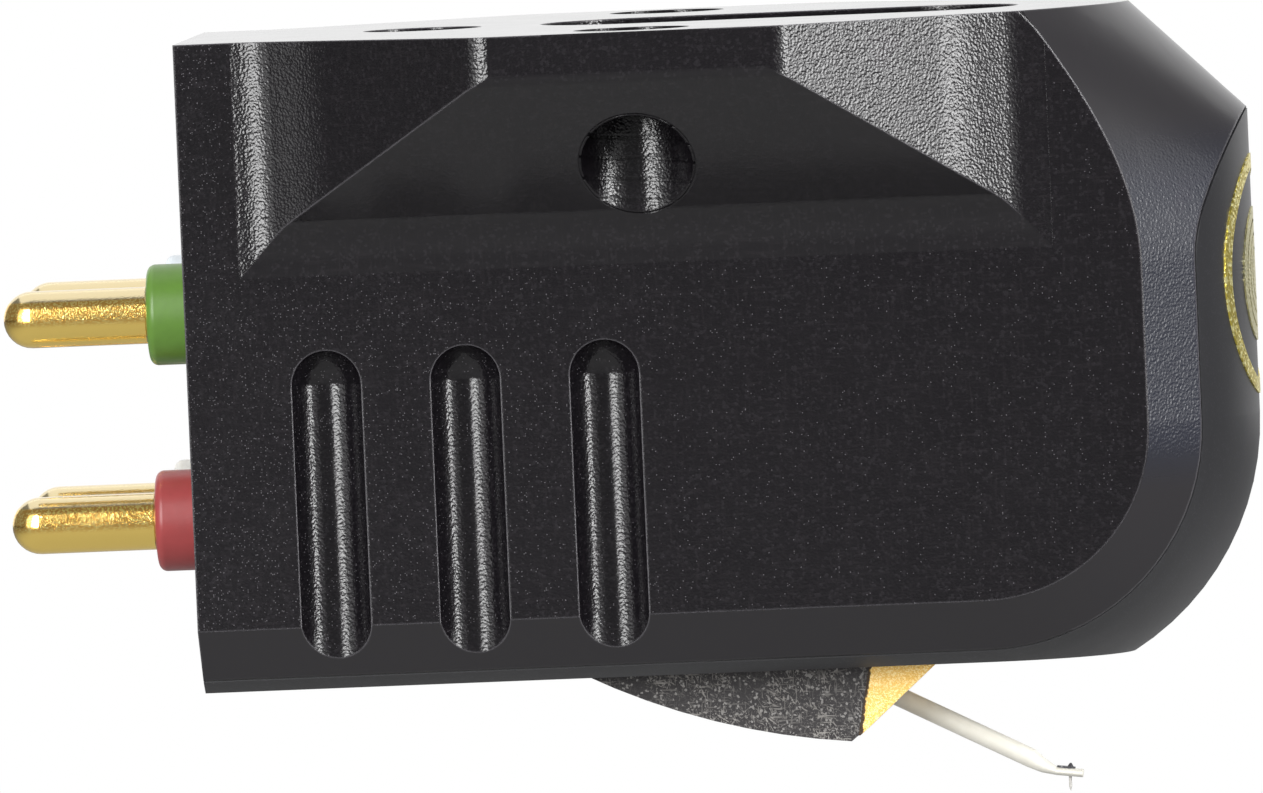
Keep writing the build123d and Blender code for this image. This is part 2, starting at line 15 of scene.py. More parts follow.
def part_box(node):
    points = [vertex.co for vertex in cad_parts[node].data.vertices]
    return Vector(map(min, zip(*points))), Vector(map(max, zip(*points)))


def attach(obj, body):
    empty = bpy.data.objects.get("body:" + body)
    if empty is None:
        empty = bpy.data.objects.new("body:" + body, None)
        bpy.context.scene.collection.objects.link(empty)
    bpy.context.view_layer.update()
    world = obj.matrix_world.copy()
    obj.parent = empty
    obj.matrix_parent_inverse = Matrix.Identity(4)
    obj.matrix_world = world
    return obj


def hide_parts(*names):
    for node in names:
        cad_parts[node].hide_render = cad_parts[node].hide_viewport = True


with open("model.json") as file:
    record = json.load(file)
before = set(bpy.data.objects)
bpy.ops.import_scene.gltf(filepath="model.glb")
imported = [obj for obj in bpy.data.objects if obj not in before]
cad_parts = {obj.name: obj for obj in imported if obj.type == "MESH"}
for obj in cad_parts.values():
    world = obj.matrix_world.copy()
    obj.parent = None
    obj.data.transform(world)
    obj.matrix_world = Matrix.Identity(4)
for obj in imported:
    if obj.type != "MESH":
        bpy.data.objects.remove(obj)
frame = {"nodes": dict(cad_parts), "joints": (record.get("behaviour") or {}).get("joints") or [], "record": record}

bl_info = {
    "name": "Phono Cartridge",
    "version": (1, 0, 0),
    "blender": (4, 5, 0),
    "location": "View3D > Sidebar > Cartridge",
    "description": "Finishes, screw threads, coil windings and studio for a phono cartridge",
    "category": "Object",
}

MM = 0.001
NODES = frame["nodes"]
JOINTS = {joint["name"]: joint for joint in frame["joints"]}
MOUNTS = {mount["name"]: mount for mount in frame["record"]["mounts"]}
BODY = "cartridge_body"
MOVING = "cantilever_assembly"

# Places on the CAD model that the finishes follow, in millimetres.
BODY_HALF = 4.7  # from the middle to the body's side
SKIN = 0.02  # how far inside a face a mask begins
TURN_X, TURN_Z, TURN_R = 7.0, -9.0, 3.64  # arc that bounds the flat side at the nose
FRONT_TOP = (-2.2, -4.2)  # heights between which the grainy front band begins
FRONT_FOOT = (-10.6, -9.2)  # heights between which it ends
SEAM_Z = -13.4  # the lower chamfer's edge lies below this
HOLE_CLEAR = 1.8  # half width of the ear's edge that the tapped hole takes
FILLET_X = (6.5, 8.8)  # stretch along which the ear's wall seems to sweep into the side
FILLET_SWELL = 0.36  # how far it seems to swell there
PIN_DOME_X = -13.45  # where a pin's dome meets its shank
JOINT_TOP_X, JOINT_TOP_Z = 4.28, -14.07  # top of the joint between shroud and front pole
JOINT_LEAN = 0.188  # how far the joint leans, along X for each step along Z
ARM_REACH = 0.55  # from the former's axis to the middle of a winding

SHARP_ANGLE = radians(25)  # edges of the threads that turn further stay crisp
SHADE = 0.72  # share of a collar's colour that its darker mottling keeps


def srgb(red, green, blue):
    """Linear colour of an eight-bit screen colour."""
    channels = []
    for value in (red, green, blue):
        c = value / 255
        channels.append(c / 12.92 if c <= 0.04045 else ((c + 0.055) / 1.055) ** 2.4)
    return (*channels, 1.0)


# ---------------------------------------------------------------- settings


def colour(name, description, value):
    return FloatVectorProperty(name=name, description=description, subtype="COLOR", size=4,
                               min=0.0, max=1.0, default=value)


def length(name, description, value):
    return FloatProperty(name=name, description=description, subtype="DISTANCE",
                         unit="LENGTH", default=value, precision=5)


def strength(name, description, value):
    return FloatProperty(name=name, description=description, default=value, min=0.0)


class CartridgeFinishes(PropertyGroup):
    """Colours of the cartridge's finishes."""

    anodising: colour("Anodising", "Black of the machined body", srgb(15, 13, 16))
    skimmed: colour("Skimmed", "Greyer black of the chamfer and nose", srgb(30, 28, 31))
    cover: colour("Cover", "Satin grey of the front cover", srgb(27, 27, 30))
    gold: colour("Gold", "Plating of the pins", srgb(232, 184, 96))
    green: colour("Green collar", "Right channel, upper pin", srgb(96, 136, 54))
    red: colour("Red collar", "Right channel, lower pin", srgb(158, 66, 66))
    # Painted highlight: the blue collar is given a near-white pale blue that stands in for the bright highlight
    # along its visible top.
    blue: colour("Blue collar", "Left channel, upper pin", srgb(226, 234, 240))
    white: colour("White collar", "Left channel, lower pin", srgb(240, 239, 234))
    grain: length("Blast grain", "Size of the bead-blasted grain", 0.06 * MM)
    grain_depth: length("Blast depth", "Depth of the bead-blasted grain", 0.0045 * MM)
    edge: length("Edge break", "Radius that the broken edges seem to have", 0.06 * MM)


class CartridgeSizes(PropertyGroup):
    """Sizes of the fine parts that are wound, cut or tapped."""

    thread_pitch: length("Thread pitch", "Rise of the tapped threads in one turn", 0.45 * MM)
    thread_depth: length("Thread depth", "How far a crest stands into its hole", 0.05 * MM)
    thread_gap: length("Thread gap", "Open groove between two crests", 0.06 * MM)
    wire: length("Coil wire", "Diameter of the coil wire", 0.030 * MM)
    turns: IntProperty(name="Coil turns", description="Turns shown in one layer of a winding",
                       default=9, min=3, max=20)


class CartridgeStudio(PropertyGroup):
    """Camera and lamps."""

    lens: FloatProperty(name="Lens", description="Focal length of the camera", default=1000.0,
                        subtype="DISTANCE_CAMERA")
    left: strength("Left strip", "Radiance of the left strip light", 14.0)
    right: strength("Right strip", "Radiance of the right strip light", 16.5)
    left_panel: strength("Left panel", "Radiance of the left panel", 1.8)
    right_panel: strength("Right panel", "Radiance of the right panel", 5.0)
    broad: strength("Broad panel", "Radiance of the broad right panel", 1.2)
    overhead: strength("Overhead", "Radiance of the overhead panel", 1.08)
    behind: strength("Behind", "Radiance of the panel behind", 1.0)
    ambient: strength("Ambient", "Strength of the world's soft light", 0.28)


# ---------------------------------------------------------------- node trees


def feed(tree, socket, value):
    """Sets an input to a value, or links it to an output socket."""
    if isinstance(value, bpy.types.NodeSocket):
        tree.links.new(value, socket)
    else:
        socket.default_value = value


def add(tree, kind, inputs=None, **settings):
    """New node with its settings and its inputs, which are values or output sockets."""
    made = tree.nodes.new(kind)
    for key, value in settings.items():
        setattr(made, key, value)
    for key, value in (inputs or {}).items():
        feed(tree, made.inputs[key], value)
    return made


def calc(tree, operation, first, second=0.5):
    """Result of a sum; operations on one value leave the second out."""
    return add(tree, "ShaderNodeMath", {0: first, 1: second}, operation=operation).outputs[0]


def times(tree, first, *others):
    """Product of values or masks."""
    for other in others:
        first = calc(tree, "MULTIPLY", first, other)
    return first


def less(tree, first, second):
    return calc(tree, "SUBTRACT", first, second)


def larger(tree, first, *others):
    """Largest of some values, or masks laid together."""
    for other in others:
        first = calc(tree, "MAXIMUM", first, other)
    return first


def step(tree, value, low, high):
    """Smooth rise from 0 at low to 1 at high."""
    return add(tree, "ShaderNodeMapRange",
               {"Value": value, "From Min": low, "From Max": high},
               interpolation_type="SMOOTHSTEP").outputs["Result"]


def mix(tree, factor, first, second):
    """Colour between first and second; the node's colour sockets are numbered."""
    made = add(tree, "ShaderNodeMix", {0: factor, 6: first, 7: second}, data_type="RGBA")
    return made.outputs[2]


def new_group(name, inputs, outputs):
    """Shader group with named sockets; returns the group, its inputs and its output node."""
    group = bpy.data.node_groups.new(name, "ShaderNodeTree")
    for label, kind, value in inputs:
        socket = group.interface.new_socket(label, in_out="INPUT", socket_type=kind)
        if value is not None:
            socket.default_value = value
    for label, kind in outputs:
        group.interface.new_socket(label, in_out="OUTPUT", socket_type=kind)
    entry = group.nodes.new("NodeGroupInput").outputs
    leave = group.nodes.new("NodeGroupOutput")
    return group, entry, leave


FLOAT = "NodeSocketFloat"
COLOUR = "NodeSocketColor"
VECTOR = "NodeSocketVector"


def blast_group():
    """Bead-blasted grain: a height, and a colour in which a share of the grains glint."""
    group, given, out = new_group(
        "Blasted Grain",
        [("Position", VECTOR, None), ("Grain", FLOAT, 0.05), ("Base", COLOUR, (0, 0, 0, 1)),
         ("Glint", COLOUR, (1, 1, 1, 1)), ("Share", FLOAT, 0.1)],
        [("Color", COLOUR), ("Height", FLOAT)])
    scale = calc(group, "DIVIDE", 1.0, given["Grain"])
    place = given["Position"]
    cells = add(group, "ShaderNodeTexVoronoi", {"Vector": place, "Scale": scale})
    soft = add(group, "ShaderNodeTexNoise", {"Vector": place, "Scale": scale, "Detail": 0.7})
    height = calc(group, "ADD", times(group, cells.outputs["Distance"], 0.5),
                  soft.outputs["Fac"])
    pick = add(group, "ShaderNodeSeparateColor", {0: cells.outputs["Color"]}).outputs[0]
    glints = calc(group, "GREATER_THAN", pick, less(group, 1.0, given["Share"]))
    group.links.new(height, out.inputs["Height"])
    group.links.new(mix(group, glints, given["Base"], given["Glint"]), out.inputs["Color"])
    return group


def painted_glint_group():
    """Scattered dots, a share of the cells, as a mask for painted glints."""
    group, given, out = new_group(
        "Painted Glint Specks",
        [("Position", VECTOR, None), ("Size", FLOAT, 0.05), ("Share", FLOAT, 0.1)],
        [("Mask", FLOAT)])
    cells = add(group, "ShaderNodeTexVoronoi", {
        "Vector": given["Position"], "Scale": calc(group, "DIVIDE", 1.0, given["Size"])})
    pick = add(group, "ShaderNodeSeparateColor", {0: cells.outputs["Color"]}).outputs[0]
    chosen = calc(group, "LESS_THAN", pick, given["Share"])
    dot = step(group, cells.outputs["Distance"], 0.45, 0.2)
    group.links.new(times(group, chosen, dot), out.inputs["Mask"])
    return group


def weave_group():
    """Faint crossed scratches, level and upright, as a mask."""
    group, given, out = new_group(
        "Crossed Scratches", [("Position", VECTOR, None), ("Size", FLOAT, 0.05)],
        [("Mask", FLOAT)])
    lines = []
    for shape in ((1.0, 1.0, 9.0), (9.0, 1.0, 1.0)):
        placed = add(group, "ShaderNodeVectorMath", {0: given["Position"], 1: shape},
                     operation="MULTIPLY").outputs[0]
        noise = add(group, "ShaderNodeTexNoise",
                    {"Vector": placed, "Scale": calc(group, "DIVIDE", 0.12, given["Size"]),
                     "Detail": 2.0}).outputs["Fac"]
        lines.append(step(group, noise, 0.54, 0.72))
    group.links.new(larger(group, *lines), out.inputs["Mask"])
    return group


def fibre_group():
    """Short pale fibres lying in many directions, as a mask."""
    group, given, out = new_group(
        "Pressed Fibres",
        [("Position", VECTOR, None), ("Size", FLOAT, 0.05), ("Low", FLOAT, 0.63),
         ("High", FLOAT, 0.74)],
        [("Mask", FLOAT)])
    lines = []
    for turn in range(6):
        placed = add(group, "ShaderNodeMapping", {
            "Vector": given["Position"], "Rotation": (0.3 * turn, 0.55 * turn, 0.2 * turn),
            "Location": (3.1 * turn, 1.7 * turn, 0.9 * turn), "Scale": (10.0, 1.0, 1.0)},
            vector_type="TEXTURE").outputs[0]
        noise = add(group, "ShaderNodeTexNoise", {
            "Vector": placed, "Scale": calc(group, "DIVIDE", 1.0, given["Size"]),
            "Detail": 0.5, "Distortion": 0.4}).outputs["Fac"]
        lines.append(step(group, noise, given["Low"], given["High"]))
    group.links.new(larger(group, *lines), out.inputs["Mask"])
    return group


def smudge_group():
    """Slow unevenness of a handled finish, between two roughnesses."""
    group, given, out = new_group(
        "Uneven Sheen",
        [("Position", VECTOR, None), ("Size", FLOAT, 2.0), ("Low", FLOAT, 0.3),
         ("High", FLOAT, 0.4)],
        [("Roughness", FLOAT), ("Mask", FLOAT)])
    noise = add(group, "ShaderNodeTexNoise",
                {"Vector": given["Position"], "Scale": calc(group, "DIVIDE", 1.0, given["Size"]),
                 "Detail": 4.0, "Roughness": 0.6}).outputs["Fac"]
    spread = times(group, less(group, given["High"], given["Low"]), noise)
    group.links.new(calc(group, "ADD", given["Low"], spread), out.inputs["Roughness"])
    group.links.new(noise, out.inputs["Mask"])
    return group


GROUPS = {}


def effect(tree, name, **inputs):
    """A shared group with its inputs set; words in a name are joined by underscores."""
    named = {key.replace("_", " "): value for key, value in inputs.items()}
    return add(tree, "ShaderNodeGroup", named, node_tree=GROUPS[name]).outputs


class Finish:
    """One material with a Principled shader, in millimetre Object coordinates."""

    def __init__(self, name, **shader):
        self.material = bpy.data.materials.new(name)
        self.material.use_nodes = True
        self.tree = self.material.node_tree
        self.tree.nodes.clear()
        out = self.tree.nodes.new("ShaderNodeOutputMaterial")
        self.shader = self.tree.nodes.new("ShaderNodeBsdfPrincipled")
        self.tree.links.new(self.shader.outputs[0], out.inputs[0])
        for key, value in shader.items():
            self.set(key.replace("_", " "), value)
        coordinates = self.tree.nodes.new("ShaderNodeTexCoord").outputs["Object"]
        self.place = add(self.tree, "ShaderNodeVectorMath",
                         {0: coordinates, "Scale": 1 / MM}, operation="SCALE").outputs[0]

    def set(self, key, value):
        feed(self.tree, self.shader.inputs[key], value)

    def bevel(self, radius):
        """Normal that is rounded near the edges."""
        return add(self.tree, "ShaderNodeBevel", {"Radius": radius}, samples=4).outputs[0]

    def bump(self, height, depth, normal=None):
        """Relief of the given depth in metres, on top of a normal."""
        inputs = {"Height": height, "Distance": depth, "Strength": 1.0}
        if normal is not None:
            inputs["Normal"] = normal
        made = add(self.tree, "ShaderNodeBump", inputs)
        self.tree.links.new(made.outputs[0], self.shader.inputs["Normal"])

    def axes(self):
        """Object coordinates in millimetres, one by one."""
        return add(self.tree, "ShaderNodeSeparateXYZ", {0: self.place}).outputs

    def lean(self, direction, normal="True Normal"):
        """How far the face, or with Normal the smooth surface, looks along a direction."""
        normal = self.tree.nodes.new("ShaderNodeNewGeometry").outputs[normal]
        return add(self.tree, "ShaderNodeVectorMath", {0: normal, 1: direction},
                   operation="DOT_PRODUCT").outputs["Value"]

    def facing(self, direction, low, high):
        """Mask of the faces that look along a direction."""
        return step(self.tree, self.lean(direction), low, high)


def wear(name, material):
    """Gives a CAD node its finish through its material slots."""
    for slot in NODES[name].material_slots:
        slot.material = material


# ---------------------------------------------------------------- finishes


def body_zones(made):
    """Masks of the stretches of the body that were machined or blasted differently."""
    tree = made.tree
    x, y, z = made.axes()
    out_y = calc(tree, "ABSOLUTE", y)
    inside = calc(tree, "LESS_THAN", out_y, BODY_HALF - SKIN)
    ear = calc(tree, "GREATER_THAN", out_y, BODY_HALF)
    past = calc(tree, "MAXIMUM", less(tree, x, TURN_X), 0.0)
    below = calc(tree, "MINIMUM", less(tree, z, TURN_Z), 0.0)
    reach = calc(tree, "SQRT", calc(tree, "ADD", calc(tree, "POWER", past, 2.0),
                                    calc(tree, "POWER", below, 2.0)))
    forward = times(tree, inside, made.facing((1, 0, 0), 0.25, 0.35),
                    calc(tree, "GREATER_THAN", x, 0.0))
    downward = times(tree, inside, calc(tree, "GREATER_THAN", reach, TURN_R),
                     made.facing((0, 0, -1), 0.1, 0.2))
    upright = less(tree, 1.0, calc(tree, "ABSOLUTE", made.lean((0, 0, 1))))
    across = calc(tree, "ABSOLUTE", made.lean((1, 0, 0)))
    return {
        "ear": ear,
        "skimmed": larger(tree, forward, downward),
        "front": times(tree, forward, step(tree, z, *FRONT_TOP), step(tree, z, *FRONT_FOOT)),
        "top": times(tree, made.facing((0, 0, 1), 0.9, 0.95),
                     calc(tree, "GREATER_THAN", z, -0.05)),
        "slope": times(tree, ear, made.facing((0, 0, -1), 0.1, 0.4)),
        "wall": times(tree, step(tree, upright, 0.6, 0.9), step(tree, across, 0.02, 0.06), ear),
        "flat": step(tree, calc(tree, "ABSOLUTE", made.lean((0, 1, 0))), 0.985, 0.998),
    }


def body_tint(made, settings, zones, blasted, broken):
    """Colour of the body: painted glint dots, faint scratches, painted edge highlights and the dark lower seam."""
    tree = made.tree
    x, _, z = made.axes()
    # Painted glints: light grey dots on the plain blasted stretches stand in for grains that catch the lamps.
    # There are more of them towards the rear.
    share = calc(tree, "ADD", 0.02, times(tree, step(tree, x, 4.0, -12.0), 0.10))
    painted_glints = effect(tree, "Painted Glint Specks", Position=made.place, Size=0.034, Share=share)["Mask"]
    weave = effect(tree, "Crossed Scratches", Position=made.place, Size=0.06)["Mask"]
    tint = mix(tree, times(tree, weave, 0.4), blasted, srgb(30, 27, 30))
    plain = less(tree, 1.0, larger(tree, zones["skimmed"], zones["ear"]))
    tint = mix(tree, times(tree, painted_glints, plain), tint, srgb(88, 86, 89))
    tint = mix(tree, zones["skimmed"], tint, settings.skimmed)
    tint = mix(tree, zones["front"], tint, srgb(30, 32, 42))
    # Painted highlight: a lighter grey along the broken edges, where the rounded normal turns from the face's,
    # stands in for the edges catching the lamps. The tapped hole's edge on the ear is left out.
    normal = tree.nodes.new("ShaderNodeNewGeometry").outputs["Normal"]
    turned = add(tree, "ShaderNodeVectorMath", {0: broken, 1: normal},
                 operation="DOT_PRODUCT").outputs["Value"]
    edge = step(tree, turned, 0.97, 0.86)
    away = larger(tree, calc(tree, "GREATER_THAN", calc(tree, "ABSOLUTE", x), HOLE_CLEAR),
                  less(tree, 1.0, zones["ear"]))
    tint = mix(tree, times(tree, away, edge), tint, srgb(96, 94, 98))
    seam = times(tree, edge, calc(tree, "LESS_THAN", z, SEAM_Z))
    return mix(tree, seam, tint, srgb(8, 8, 9))


def body_relief(made, settings, zones, grain):
    """Blasted relief: coarse on walls and front, calm where skimmed, swept at the ears."""
    tree = made.tree
    calm = larger(tree, zones["skimmed"], zones["top"], zones["slope"],
                  times(tree, zones["flat"], 0.6))
    calm = less(tree, calm, times(tree, zones["front"], 0.95))
    coarse = times(tree, larger(tree, zones["wall"], zones["front"]), 0.8)
    weight = less(tree, calc(tree, "ADD", 1.0, coarse), times(tree, calm, 0.9))
    away = calc(tree, "ABSOLUTE", made.axes()[0])
    sweep = less(tree, step(tree, away, *FILLET_X), 1.0)
    swell = times(tree, sweep, FILLET_SWELL * MM / settings.grain_depth)
    return calc(tree, "ADD", times(tree, grain, weight), times(tree, zones["wall"], swell))


def anodised(settings):
    """Black anodising: blasted body, skimmed chamfer and nose, lapped top face."""
    made = Finish("anodised_body", Specular_IOR_Level=0.5)
    tree = made.tree
    zones = body_zones(made)
    blast = effect(tree, "Blasted Grain", Position=made.place, Grain=settings.grain / MM,
                   Base=settings.anodising, Glint=srgb(26, 24, 27), Share=0.12)
    broken = made.bevel(settings.edge)
    made.set("Base Color", body_tint(made, settings, zones, blast["Color"], broken))
    sheen = effect(tree, "Uneven Sheen", Position=made.place, Size=1.6, Low=0.13, High=0.18)
    matt = less(tree, zones["skimmed"], times(tree, zones["front"], 0.6))
    made.set("Roughness", calc(tree, "ADD", sheen["Roughness"], times(tree, matt, 0.14)))
    made.bump(body_relief(made, settings, zones, blast["Height"]), settings.grain_depth, broken)
    return made.material


def satin(settings):
    """Smooth satin anodising of the front cover."""
    made = Finish("satin_cover", Specular_IOR_Level=0.5)
    blast = effect(made.tree, "Blasted Grain", Position=made.place, Grain=0.03,
                   Base=settings.cover, Glint=srgb(40, 40, 44), Share=0.08)
    sheen = effect(made.tree, "Uneven Sheen", Position=made.place, Size=2.4, Low=0.33, High=0.40)
    made.set("Base Color", blast["Color"])
    made.set("Roughness", sheen["Roughness"])
    made.bump(blast["Height"], 0.0007 * MM)
    return made.material


def glitter_gold(name, base, glint, grain):
    """Gold inlay that sparkles in coarse grains."""
    made = Finish(name, Metallic=1.0)
    blast = effect(made.tree, "Blasted Grain", Position=made.place, Grain=grain, Base=base,
                   Glint=glint, Share=0.3)
    made.set("Base Color", blast["Color"])
    made.set("Roughness", 0.32)
    made.bump(blast["Height"], 0.014 * MM)
    return made.material


def pin_gold(settings):
    """Gold plating, polished on the dome and grained along the shank, with a painted highlight on top and painted
    light from below.
    """
    made = Finish("gold_pin", Metallic=1.0)
    tree = made.tree
    blast = effect(tree, "Blasted Grain", Position=made.place, Grain=0.03,
                   Base=settings.gold, Glint=srgb(255, 228, 140), Share=0.36)
    up = made.lean((0, 0, 1), "Normal")
    # Painted highlight: the side that looks upwards is mixed to a pale cream gold, as it looks under the overhead
    # panel.
    tint = mix(tree, step(tree, up, 0.58, 0.66), blast["Color"], srgb(212, 196, 156))
    # Painted reflected light: the side that looks downwards is mixed to a brighter gold, as if lit from the floor.
    tint = mix(tree, step(tree, up, -0.05, -0.3), tint, srgb(255, 222, 124))
    shank = step(tree, made.axes()[0], PIN_DOME_X, PIN_DOME_X + 0.1)
    sheen = effect(tree, "Uneven Sheen", Position=made.place, Size=0.5, Low=0.12, High=0.22)
    made.set("Base Color", tint)
    made.set("Roughness", sheen["Roughness"])
    made.bump(times(tree, blast["Height"], shank), 0.0024 * MM)
    return made.material


def moulded(name, tint, dark):
    """Semi-gloss moulded insulator with faint mottling."""
    made = Finish(name, Specular_IOR_Level=0.4)
    sheen = effect(made.tree, "Uneven Sheen", Position=made.place, Size=0.35, Low=0.28, High=0.42)
    made.set("Base Color", mix(made.tree, sheen["Mask"], tint, dark))
    made.set("Roughness", sheen["Roughness"])
    made.bump(sheen["Mask"], 0.004 * MM)
    return made.material


def metal(name, tint, low, high, grain=0.06, depth=0.002, share=0.1):
    """Bare or plated metal with a fine grain."""
    made = Finish(name, Metallic=1.0)
    blast = effect(made.tree, "Blasted Grain", Position=made.place, Grain=grain, Base=tint,
                   Glint=tuple(min(1.0, 1.3 * c) for c in tint[:3]) + (1.0,), Share=share)
    sheen = effect(made.tree, "Uneven Sheen", Position=made.place, Size=0.8, Low=low, High=high)
    made.set("Base Color", blast["Color"])
    made.set("Roughness", sheen["Roughness"])
    made.bump(blast["Height"], depth * MM)
    return made.material


def composite():
    """Rough black composite with pale fibres pressed into it."""
    made = Finish("black_composite", Specular_IOR_Level=0.3)
    tree = made.tree
    fibres = effect(tree, "Pressed Fibres", Position=made.place, Size=0.034)["Mask"]
    patch = effect(tree, "Uneven Sheen", Position=made.place, Size=0.9)["Mask"]
    fibres = times(tree, fibres, step(tree, patch, 0.3, 0.7))
    blast = effect(tree, "Blasted Grain", Position=made.place, Grain=0.045,
                   Base=srgb(46, 44, 45), Glint=srgb(120, 118, 116), Share=0.08)
    made.set("Base Color", mix(tree, fibres, blast["Color"], srgb(138, 135, 131)))
    made.set("Roughness", 0.62)
    made.bump(calc(tree, "ADD", blast["Height"], fibres), 0.012 * MM)
    return made.material


def gilt():
    """Grainy gold on sintered iron, dark along the torn edge at the composite."""
    made = Finish("gilt_iron", Metallic=0.45)
    tree = made.tree
    blast = effect(tree, "Blasted Grain", Position=made.place, Grain=0.024,
                   Base=srgb(240, 194, 102), Glint=srgb(255, 226, 160), Share=0.35)
    x, _, z = made.axes()
    ragged = effect(tree, "Uneven Sheen", Position=made.place, Size=0.14)["Mask"]
    lean = times(tree, less(tree, z, JOINT_TOP_Z), JOINT_LEAN)
    along = less(tree, less(tree, x, JOINT_TOP_X), lean)
    torn = step(tree, less(tree, along, times(tree, ragged, 0.22)), -0.02, -0.06)
    made.set("Base Color", mix(tree, torn, blast["Color"], srgb(58, 44, 30)))
    made.set("Roughness", 0.5)
    made.bump(blast["Height"], 0.012 * MM)
    return made.material


def smooth_stuff(name, tint, dark, roughness, size=0.2, **shader):
    """Plain stuff with slow mottling: rubber, ceramic, adhesive, tube."""
    made = Finish(name, **shader)
    sheen = effect(made.tree, "Uneven Sheen", Position=made.place, Size=size,
                   Low=roughness - 0.05, High=roughness + 0.08)
    made.set("Base Color", mix(made.tree, sheen["Mask"], dark, tint))
    made.set("Roughness", sheen["Roughness"])
    made.bump(sheen["Mask"], 0.003 * MM)
    return made.material


# ---------------------------------------------------------------- geometry trees


def geometry_tree(name, inputs):
    """Geometry Nodes tree with named inputs; returns the tree, inputs and output."""
    tree = bpy.data.node_groups.new(name, "GeometryNodeTree")
    for label, kind, value in inputs:
        socket = tree.interface.new_socket(label, in_out="INPUT", socket_type=kind)
        if value is not None:
            socket.default_value = value
    tree.interface.new_socket("Geometry", in_out="OUTPUT", socket_type="NodeSocketGeometry")
    given = tree.nodes.new("NodeGroupInput").outputs
    leave = tree.nodes.new("NodeGroupOutput")
    return tree, given, leave


def finish_tree(tree, geometry, material, leave):
    """Ends a tree in Realize Instances and Set Material."""
    real = add(tree, "GeometryNodeRealizeInstances", {"Geometry": geometry})
    painted = add(tree, "GeometryNodeSetMaterial", {"Geometry": real.outputs[0],
                                                    "Material": material})
    tree.links.new(painted.outputs[0], leave.inputs[0])


def grow(name, tree, values, body, replaced=()):
    """Runs a tree on an empty mesh and keeps the plain result as a piece."""
    seed = bpy.data.objects.new(name + "_seed", bpy.data.meshes.new(name + "_seed"))
    bpy.context.scene.collection.objects.link(seed)
    modifier = seed.modifiers.new("Build", "NODES")
    modifier.node_group = tree
    for item in tree.interface.items_tree:
        if item.in_out == "INPUT" and item.name in values:
            modifier[item.identifier] = values[item.name]
    graph = bpy.context.evaluated_depsgraph_get()
    mesh = bpy.data.meshes.new_from_object(seed.evaluated_get(graph), depsgraph=graph)
    bpy.data.objects.remove(seed)
    if not mesh.polygons:
        raise RuntimeError(name + " came out empty")
    mesh.name = name
    piece = bpy.data.objects.new(name, mesh)
    bpy.context.scene.collection.objects.link(piece)
    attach(piece, body)
    for node_name in replaced:
        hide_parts(node_name)
    return piece


def thread_tree(material):
    """Helical crests in both tapped holes, cut off where the ears slope away."""
    tree, given, leave = geometry_tree("Tapped Threads", [
        ("Pitch", FLOAT, 0.45 * MM), ("Depth", FLOAT, 0.05 * MM), ("Gap", FLOAT, 0.06 * MM),
        ("Hole Radius", FLOAT, 1.25 * MM), ("Half Spacing", FLOAT, 6.35 * MM),
        ("Length", FLOAT, 4.51 * MM), ("Lead In", FLOAT, 0.3 * MM),
        ("Ear", FLOAT, 8.5 * MM), ("Edge", FLOAT, 1.0 * MM), ("Slope", FLOAT, radians(41.5))])
    radius = less(tree, given["Hole Radius"], times(tree, given["Depth"], 0.5))
    run = less(tree, given["Length"], given["Lead In"])
    spiral = add(tree, "GeometryNodeCurveSpiral", {
        "Resolution": 48, "Rotations": calc(tree, "DIVIDE", run, given["Pitch"]),
        "Start Radius": radius, "End Radius": radius, "Height": run, "Reverse": True})
    upright = add(tree, "GeometryNodeSetCurveNormal", {"Curve": spiral.outputs[0]},
                  mode="Z_UP").outputs[0]
    crest = less(tree, given["Pitch"], given["Gap"])
    profile = add(tree, "GeometryNodeCurvePrimitiveQuadrilateral",
                  {"Width": given["Depth"], "Height": crest}).outputs[0]
    band = add(tree, "GeometryNodeCurveToMesh",
               {"Curve": upright, "Profile Curve": profile, "Fill Caps": True}).outputs[0]
    half = 6 * MM  # of a block that takes away what stands out of the slope
    waste = add(tree, "GeometryNodeMeshCube", {"Size": (2 * half,) * 3}).outputs[0]
    pair = add(tree, "GeometryNodeJoinGeometry")
    for side in (-1, 1):
        across = times(tree, given["Half Spacing"], side)
        down = times(tree, given["Length"], -1.0)
        spot = add(tree, "ShaderNodeCombineXYZ", {"Y": across, "Z": down}).outputs[0]
        placed = add(tree, "GeometryNodeTransform",
                     {"Geometry": band, "Translation": spot}).outputs[0]
        tilt = times(tree, given["Slope"], side)
        out_by = times(tree, half, calc(tree, "SINE", tilt))
        down_by = times(tree, half, calc(tree, "COSINE", tilt))
        waste_y = calc(tree, "ADD", times(tree, given["Ear"], side), out_by)
        waste_z = times(tree, calc(tree, "ADD", given["Edge"], down_by), -1.0)
        centre = add(tree, "ShaderNodeCombineXYZ", {"Y": waste_y, "Z": waste_z}).outputs[0]
        turn_by = add(tree, "ShaderNodeCombineXYZ", {"X": tilt}).outputs[0]
        below = add(tree, "GeometryNodeTransform", {
            "Geometry": waste, "Translation": centre, "Rotation": turn_by}).outputs[0]
        cut = add(tree, "GeometryNodeMeshBoolean", {"Mesh 1": placed, "Mesh 2": below},
                  operation="DIFFERENCE", solver="EXACT").outputs[0]
        tree.links.new(cut, pair.inputs[0])
    angle = tree.nodes.new("GeometryNodeInputMeshEdgeAngle").outputs["Unsigned Angle"]
    sharp = calc(tree, "GREATER_THAN", angle, SHARP_ANGLE)
    crisp = add(tree, "GeometryNodeSetShadeSmooth", {
        "Geometry": pair.outputs[0], "Selection": sharp, "Shade Smooth": False}, domain="EDGE")
    finish_tree(tree, crisp.outputs[0], material, leave)
    return tree


